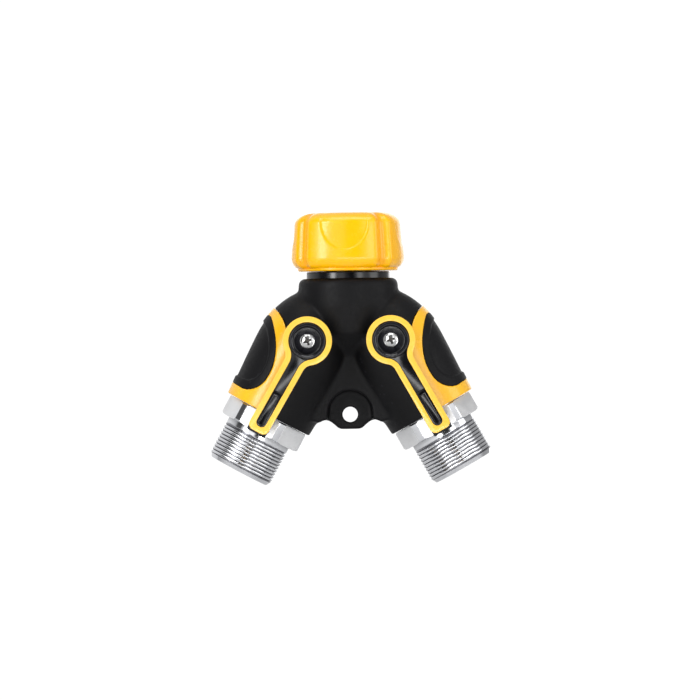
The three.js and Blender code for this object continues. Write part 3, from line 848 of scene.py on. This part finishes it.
def castSpace():  # the room the jacket leaves for the metal core
    s = shell
    solids = []
    for name, side in sides:
        wall = []
        for i in range(19):
            t = s["castFrom"] + (s["castTo"] - s["castFrom"]) * i / 18
            wall.append((min(s["castRadius"], legRadius(t) - s["skin"]) + s["castGap"], t))
        profile = [(0, s["castFrom"]), *wall, (wall[-1][0], s["castEnd"]), (0, s["castEnd"])]
        solids.append(onLeg(spun(f"{name}Space", profile, 64), side))
    for name, foot, top, room, steps in (
        ("bossSpace", s["bossFoot"], s["bossTop"], s["castRadius"] + s["castGap"], 64),
        ("neckSpace", s["neckFoot"], s["neckTop"], s["neckRoom"], 96),
    ):
        solids.append(roundBar(name, room, foot, top, steps))
    space = solids[0]
    for other in solids[1:]:
        combine(space, other, "UNION")
    return space


def hubTool(name, radius, front, back, side):
    return onHub(roundBar(name, radius, -back, -front, 96), side)


def offsetLine(points, distance):  # the outline moved outwards, corner by corner
    area = sum(a[0] * b[1] - b[0] * a[1] for a, b in zip(points, points[1:] + points[:1]))
    out = math.copysign(distance, area)
    moved = []
    for i, point in enumerate(points):
        before, after = Vector(points[i - 1]), Vector(points[(i + 1) % len(points)])
        here = Vector(point)
        a, b = (here - before).normalized(), (after - here).normalized()
        normal = Vector((a.y + b.y, -a.x - b.x))
        here += normal * out / max(normal.length_squared / 2, 0.4)
        moved.append((here.x, here.y))
    return moved


def mirrorX(points, side):
    return [(x * side, z) for x, z in points]


def puffed(obj, name, distance):  # a copy with its skin moved along its normals
    return modify(duplicate(obj, name), "DISPLACE", strength=distance * mm, mid_level=0)


def cutHub(blanks, side):  # the lever's seat, and the room for the stem's boss
    s = shell
    seat = hubTool("leverSeat", s["seatRadius"], s["frontY"], s["seatY"], side)
    for blankCopy in blanks:
        combine(blankCopy, seat, "DIFFERENCE", keepTool=True)
        boss = hubTool("stemRoom", s["stemRoom"], s["frontY"], s["stemY"], side)
        combine(blankCopy, boss, "DIFFERENCE")
    discard(seat)


def makeTrim(proud, name, side):  # a band of the proud skin, with the pad's room cut out of it
    s = shell
    area = slab("trimArea", mirrorX(trimLine, side), s["areaReach"])
    padShape = mirrorX(offsetLine(padLine, s["seam"]), side)
    room = slab("padRoom", padShape, s["roomReach"])
    trim = duplicate(proud, f"{name}Trim")
    combine(trim, area, "INTERSECT")
    combine(trim, room, "DIFFERENCE")
    moulded(trim, s["partVoxel"], s["trimBlend"])
    finishPiece(trim, f"{name}SideTrim", "body", [f"{name}_side_trim"], looks["trim"])


def makePad(proud, sunk, name, side):  # a raised lip round a dished middle
    s = shell
    padShape = mirrorX(offsetLine(padLine, -s["seam"]), side)
    padArea = slab("padArea", padShape, s["roomReach"])
    dish = slab("dishArea", mirrorX(dishLine, side), s["dishReach"])
    lip = duplicate(proud, f"{name}Lip")
    combine(lip, padArea, "INTERSECT")
    middle = duplicate(sunk, f"{name}Middle")
    combine(middle, dish, "INTERSECT", keepTool=True)
    combine(lip, dish, "DIFFERENCE")
    pad = combine(lip, middle, "UNION")
    moulded(pad, s["partVoxel"], s["padBlend"])
    finishPiece(pad, f"{name}SidePad", "body", [f"{name}_side_pad"], looks["pad"])


def makeHalf(blank, name, facing):  # one half of the jacket, parted near the middle plane
    s = shell
    half = duplicate(blank, f"{name}Half")
    middle = s["halfBlock"][1] / 2 + s["halfGap"]
    combine(half, brick("halfBlock", (0, facing * middle, s["blockZ"]), s["halfBlock"]), "INTERSECT")
    moulded(half, s["halfVoxel"], s["halfBlend"])
    finishPiece(half, f"{name}Jacket", "body", [f"{name}_jacket"], looks["jacket"])


def makeJackets():
    s = shell
    blank = jacketBlank()
    say("jacket blank")
    proud = puffed(blank, "proudBlank", s["proud"])
    sunk = puffed(blank, "sunkBlank", -s["dish"])
    space = castSpace()
    hole = slab("tabHole", arcPoints(0, s["holeZ"], s["hole"], 0, 350, 35), s["through"])
    end = layout["legEnd"]
    far = end + 3 * s["overrun"]
    for name, side in sides:
        combine(space, onLeg(roundBar("legEnds", s["endRoom"], end, far, 48), side), "UNION")
    for blankCopy in (blank, proud, sunk):
        combine(blankCopy, space, "DIFFERENCE", keepTool=True)
    combine(blank, hole, "DIFFERENCE")
    for name, side in sides:
        cutHub((blank, proud), side)
        makeTrim(proud, name, side)
        makePad(proud, sunk, name, side)
        # the jacket gives way to both
        trimShape = mirrorX(offsetLine(trimLine, s["seam"]), side)
        combine(blank, slab("trimRoom", trimShape, s["roomReach"]), "DIFFERENCE")
        say(f"{name} trim and pad")
    for name, facing in (("front", -1), ("rear", 1)):
        makeHalf(blank, name, facing)
        say(f"{name} jacket")
    discard(blank, proud, sunk, space)


makeJackets()


# outlet fittings
fitting = {
    "start": 9.5, "shank": 10.5, "shankEdge": 0.3, "sealStart": 26.0, "sealEnd": 28.0, "sealFloor": 9.2,
    "hexStart": 32.6, "hexEnd": 40.3, "hexFlat": 15.0, "hexCorner": 16.6, "hexEdge": 0.35,
    "hexTurn": {"left": math.radians(6), "right": math.radians(2)}, "flatSpread": 1.5,
    "band": 13.2, "bandStart": 33.0, "threadStart": 42.6, "threadEnd": 57.2, "pitch": 1.36, "turns": 13,
    "crest": 13.4, "root": 12.95, "grooveBelow": 13.14, "crestShape": 0.48, "endRadius": 12.1,
    "bore": 8.5, "boreStart": 15.2, "boreEdge": 0.6, "throat": 6.4, "throatEnd": 14.0,
}


def threadRidge():  # the coiled thread: a broad rounded crest and a narrow root
    f = fitting
    half = f["pitch"] / 2 * 0.97  # neighbouring turns stay just apart
    sunk = f["root"] - 0.4
    wave = []
    for i in range(-6, 7):
        lift = 0.5 + 0.5 * math.cos(math.pi * i / 6)
        wave.append((f["root"] + (f["crest"] - f["root"]) * lift ** f["crestShape"], half * i / 6))
    section = [(sunk, -half), *wave, (sunk, half)]
    ridge = coiledRidge("threadRidge", section, f["pitch"], f["turns"], 120, f["threadStart"] - 1.2)
    over = f["crest"] + 0.05
    envelope = spun("threadEnvelope", [
        (0, f["threadStart"]), (f["root"], f["threadStart"]), (over, f["threadStart"] + 1.0),
        (over, f["threadEnd"] - 2.4), (f["endRadius"], f["threadEnd"]), (0, f["threadEnd"]),
    ], 128)
    return combine(ridge, envelope, "INTERSECT")


def fittingCollar():  # a six-sided collar with its corners turned down
    f = fitting
    bpy.ops.object.select_all(action="DESELECT")
    depth = f["hexEnd"] - f["hexStart"]
    bpy.ops.mesh.primitive_cylinder_add(
        vertices=6, radius=f["hexFlat"] / math.cos(math.pi / 6) * mm, depth=depth * mm,
        location=(0, 0, (f["hexStart"] + f["hexEnd"]) / 2 * mm), rotation=(0, 0, math.pi / 2))
    collar = settle(named("fittingCollar"))
    r = f["hexCorner"]
    turned = spun("collarTurned", [
        (0, f["hexStart"]), (r - 0.4, f["hexStart"]), (r, f["hexStart"] + 0.4), (r, f["hexEnd"] - 0.8),
        (r - 0.3, f["hexEnd"] - 0.3), (r - 1.0, f["hexEnd"]), (0, f["hexEnd"]),
    ], 128)
    combine(collar, turned, "INTERSECT")
    return softened(collar, f["hexEdge"], 3, 25)


def makeFitting():
    f = fitting
    shank, root = f["shank"], f["root"]
    core = spun("fittingCore", [
        (0, f["start"]), (shank - f["shankEdge"], f["start"]), (shank, f["start"] + f["shankEdge"]),
        (shank, f["sealStart"]), (f["sealFloor"], f["sealStart"]), (f["sealFloor"], f["sealEnd"]),
        (shank, f["sealEnd"]), (shank, f["bandStart"]), (f["band"], f["bandStart"]),
        (f["band"], f["threadStart"] - 0.3), (root, f["threadStart"]), (root, f["threadEnd"] - 1.5),
        (f["endRadius"], f["threadEnd"]), (0, f["threadEnd"]),
    ], 128)
    combine(core, threadRidge(), "UNION")
    combine(core, fittingCollar(), "UNION")
    mouth = f["bore"] + f["boreEdge"]
    bore = spun("fittingBore", [
        (0, 9), (f["throat"], 9), (f["throat"], f["throatEnd"]), (f["bore"], f["boreStart"]),
        (f["bore"], f["threadEnd"] - f["boreEdge"]), (mouth, f["threadEnd"]), (mouth, 58), (0, 58),
    ], 128)
    combine(core, bore, "DIFFERENCE")
    return smoothByAngle(core, 28)


def fittingPart(face):  # 1 down in the thread's grooves, which get painted shade, 2 on the collar's flats, 0 elsewhere
    f = fitting
    x, y, z = face.center / mm
    radius, angle = math.hypot(x, y), math.degrees(math.atan2(face.normal.y, face.normal.x))
    if f["threadStart"] < z < f["threadEnd"] - 1.4 and f["bore"] + 1 < radius < f["grooveBelow"]:
        return 1
    onCollar = f["hexStart"] < z < f["hexEnd"] and radius > f["band"] and abs(face.normal.z) < 0.05
    if onCollar and abs((angle + 30) % 60 - 30) > 30 - f["flatSpread"]:
        return 2
    return 0


def makeFittings():
    master = makeFitting()
    parts = [fittingPart(face) for face in master.data.polygons]
    for name, side in sides:
        piece = duplicate(master, f"{name}Fitting")
        piece.rotation_euler = (0, 0, fitting["hexTurn"][name])
        onLeg(settle(piece), side)
        finishPiece(piece, f"{name}OutletFitting", "body", [f"{name}_outlet_fitting"],
                    looks[name])
        piece.data.materials.append(looks["groove"])
        piece.data.materials.append(looks["flat"])
        # the thread's grooves take the darker metal as painted shade
        for face, part in zip(piece.data.polygons, parts):
            face.material_index = part
    discard(master)


makeFittings()
say("outlet fittings")


# levers
lever = {
    "hub": 9.5, "half": 4.2, "length": 40.0, "fillet": 4.0, "rim": 2.2, "gap": 0.08, "tipRound": 2.4,
    "turn": {"left": math.radians(1.3), "right": 0.0},
    "under": -19.5, "plateTop": -21.0, "plateLength": 40.9, "plateInset": 0.2, "plateCorner": 0.3,
    "rimFace": -24.75, "rimSink": 0.3, "coreFace": -24.35, "coreSink": 0.6, "hubFace": -24.85,
    "dishStart": 24.5, "dishEnd": 36.0, "dishHalf": 0.95, "dishDeep": 0.5,
    "stepStart": 22.6, "stepEnd": 23.0, "stepHalf": 3.0, "stepDeep": 0.3,
    "ring": 7.0, "ringEdge": 0.5, "well": 5.7, "wellMouth": 6.1, "wellFloor": 23.4, "wellRound": 0.6,
    "wellLip": 24.5, "ringFoot": 21, "stemHole": 3.5, "stemTop": 22.9, "screwHole": 1.9,
    "rimSoft": 0.55, "baseSoft": 0.25, "coreSoft": 0.22, "cutFront": -30, "cutBack": -15,
}


def leverLine(inset, endX=None, corner=None):
    hub, half = lever["hub"] - inset, lever["half"] - inset
    bend = lever["fillet"] + inset
    length = endX or lever["length"] - inset
    corner = half * 0.96 if corner is None else corner
    centreX = math.sqrt((hub + bend) ** 2 - (half + bend) ** 2)
    meet = math.degrees(math.atan2(half + bend, centreX))
    points = arcPoints(0, 0, hub, meet, 360 - meet, 56)
    points += arcPoints(centreX, -half - bend, bend, 180 - meet, 90, 10)[1:]
    points += arcPoints(length - corner, -half + corner, corner, -90, 0, 9)
    points += arcPoints(length - corner, half - corner, corner, 0, 90, 9)
    points += arcPoints(centreX, half + bend, bend, 270, 180 + meet, 10)[:-1]
    return points


def onFront(obj):  # a shape turned about Z, laid so that its top faces the front
    obj.rotation_euler = (math.pi / 2, 0, 0)
    return settle(obj)


def leverRim():
    v = lever
    outer = leverLine(0, corner=v["tipRound"])
    rim = prism("leverRim", outer, v["rimFace"], v["plateTop"] - v["rimSink"])
    combine(rim, prism("rimRoom", leverLine(v["rim"]), v["cutFront"], v["cutBack"]), "DIFFERENCE")
    softened(rim, v["rimSoft"], 4)
    return smoothByAngle(rim, 40)


def leverCore():  # the base plate, the arm with its long dish, and the hub with the screw's well
    v = lever
    plate = leverLine(v["plateInset"], v["plateLength"], v["plateCorner"])
    base = prism("leverBase", plate, v["plateTop"], v["under"])
    softened(base, v["baseSoft"], 2)
    core = prism("leverCore", leverLine(v["rim"] + v["gap"]), v["coreFace"], v["plateTop"] + v["coreSink"])
    start, narrow = v["dishStart"], v["dishHalf"] - 0.1
    dish = [(start, -narrow), *arcPoints(v["dishEnd"], 0, v["dishHalf"], -90, 90, 12), (start, narrow)]
    combine(core, prism("armDish", dish, v["cutFront"], v["coreFace"] + v["dishDeep"]), "DIFFERENCE")
    near, far, half = v["stepStart"], v["stepEnd"], v["stepHalf"]
    step = [(near, -half), (far, -half), (far, half), (near, half)]
    combine(core, prism("armStep", step, v["cutFront"], v["coreFace"] + v["stepDeep"]), "DIFFERENCE")
    softened(core, v["coreSoft"], 3, 50)
    face, bend = -v["hubFace"], v["ringEdge"]
    ring = onFront(spun("hubRing", [
        (0, v["ringFoot"]), (v["ring"], v["ringFoot"]), (v["ring"], face - bend - 0.05),
        *arcPoints(v["ring"] - bend, face - bend, bend, 0, 90, 5)[1:], (0, face),
    ], 96))
    combine(core, ring, "UNION")
    combine(core, base, "UNION")
    bend = v["wellRound"]
    edge, floor = v["well"] - bend - 0.1, v["wellFloor"]
    well = onFront(spun("hubWell", [
        (0, floor), (edge, floor), *arcPoints(edge, floor + bend, bend, -90, 0, 5)[1:],
        (v["well"], v["wellLip"]),
        (v["wellMouth"], face), (v["wellMouth"], 26), (0, 26),
    ], 96))
    combine(core, well, "DIFFERENCE")
    drill = onFront(spun("hubDrill", [
        (0, 18), (v["stemHole"], 18), (v["stemHole"], v["stemTop"]), (v["screwHole"], v["stemTop"]),
        (v["screwHole"], 27), (0, 27),
    ], 48))
    combine(core, drill, "DIFFERENCE")
    return smoothByAngle(core, 32)


screw = {
    "head": 2.75, "headEdge": 0.3, "floor": 23.7, "top": 24.88, "shank": 1.6, "tip": 17.5, "point": 0.5,
    "pointLength": 0.7, "arm": 2.3, "armHalf": 0.52, "armTaper": (0.62, 0.8, 1), "deep": 0.95,
    "dome": 3.9, "domeFrom": 41, "recessFrom": 0.1, "recessReach": 2.35, "soft": 0.07,
    "turns": (0.35, 0.35 + math.pi / 2), "dimple": [(0, 23.75), (0.55, 23.9), (1.05, 25.2), (0, 25.2)],
}


def crossSlot(turn):
    s = screw
    slot = brick("crossSlot", (0, 0, s["top"]), (2 * s["arm"], 2 * s["armHalf"], 2 * s["deep"]))
    editMode(slot)
    bpy.ops.mesh.select_all(action="DESELECT")
    objectMode()
    for vertex in slot.data.vertices:
        vertex.select = vertex.co.z < s["top"] * mm
    editMode(slot)  # the cross narrows as it goes down
    bpy.ops.transform.resize(value=s["armTaper"], center_override=(0, 0, s["top"] * mm))
    objectMode()
    slot.rotation_euler = (0, 0, turn)
    return settle(slot)


def makeScrew():
    s = screw
    head = spun("screwHead", [
        (0, s["tip"]), (s["shank"] - s["point"], s["tip"]), (s["shank"], s["tip"] + s["pointLength"]),
        (s["shank"], s["floor"]), (s["head"] - 0.05, s["floor"]), (s["head"], s["floor"] + s["headEdge"]),
        *arcPoints(0, s["top"] - s["dome"], s["dome"], s["domeFrom"], 90, 9),
    ], 64)
    for turn in s["turns"]:
        combine(head, crossSlot(turn), "DIFFERENCE")
    combine(head, spun("crossDimple", s["dimple"], 32), "DIFFERENCE")
    softened(head, s["soft"], 2, 35)
    return smoothByAngle(head, 35)


def inScrewCross(face, side):  # true down in the cross, which is rougher and painted dark as shade
    s = screw
    reach = math.hypot(face.center.x / mm - side * layout["hubX"], face.center.z / mm - layout["hubZ"])
    if reach > s["recessReach"]:
        return False
    surface = s["top"] - s["dome"] + math.sqrt(s["dome"] ** 2 - reach ** 2)
    return s["floor"] < -face.center.y / mm < surface - s["recessFrom"]


def makeLevers():
    rim, core, head = leverRim(), leverCore(), makeScrew()
    for name, side in sides:
        body = f"{name}_lever"
        rest = lever["turn"][name]
        piece = leverTurn(duplicate(rim, f"{name}Rim"), side, rest)
        finishPiece(piece, f"{name}LeverRim", body, [f"{name}_lever_trim"], looks["rim"])
        piece = leverTurn(duplicate(core, f"{name}Core"), side, rest)
        finishPiece(piece, f"{name}LeverHandle", body, [f"{name}_lever_handle"],
                    looks["lever"])
        piece = onHub(duplicate(head, f"{name}Head"), side)
        finishPiece(piece, f"{name}LeverScrew", body, [f"{name}_lever_screw"], looks["screw"])
        piece.data.materials.append(looks["recess"])
        # the cross is painted dark as shade
        for face in piece.data.polygons:
            if inScrewCross(face, side):
                face.material_index = 1
    discard(rim, core, head)


makeLevers()
say("levers")


# valve balls, and the hidden parts' finishes
ball = {
    "radius": 9.0, "bore": [(0, -12), (8.0, -12), (6.0, -6.2), (6.0, 6.2), (8.0, 12), (0, 12)],
    "slot": (3.2, 6.0, 6.6), "slotY": -9.7,
}


def makeBalls():
    b = ball
    bpy.ops.object.select_all(action="DESELECT")
    bpy.ops.mesh.primitive_uv_sphere_add(segments=96, ring_count=48, radius=b["radius"] * mm)
    master = settle(named("ballMaster"))
    combine(master, spun("ballBore", b["bore"], 96), "DIFFERENCE")
    combine(master, brick("ballSlot", (0, b["slotY"], 0), b["slot"]), "DIFFERENCE")
    smoothByAngle(master, 30)
    for name, side in sides:
        piece = onLeg(duplicate(master, f"{name}Ball"), side)
        finishPiece(piece, f"{name}ValveBall", f"{name}_lever", [f"{name}_valve_ball"],
                    looks["ball"])
    discard(master)


def dressHiddenParts():
    finishes = {"tailpiece_o_ring": "rubber", "metal_body": "cast"}
    for name, side in sides:
        finishes.update({
            f"{name}_inner_seat": "seat", f"{name}_outer_seat": "seat", f"{name}_valve_stem": "brass",
            f"{name}_stem_o_ring": "rubber", f"{name}_fitting_o_ring": "rubber",
        })
    for node, look in finishes.items():
        meshData = frame["nodes"][node].data
        meshData.materials.clear()
        meshData.materials.append(looks[look])


makeBalls()
dressHiddenParts()
say("valves and hidden parts")

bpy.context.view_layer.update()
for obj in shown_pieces():
    if obj.type == "MESH" and "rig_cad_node" not in obj:
        obj.data.calc_loop_triangles()
        print(obj.name, len(obj.data.loop_triangles), "triangles")
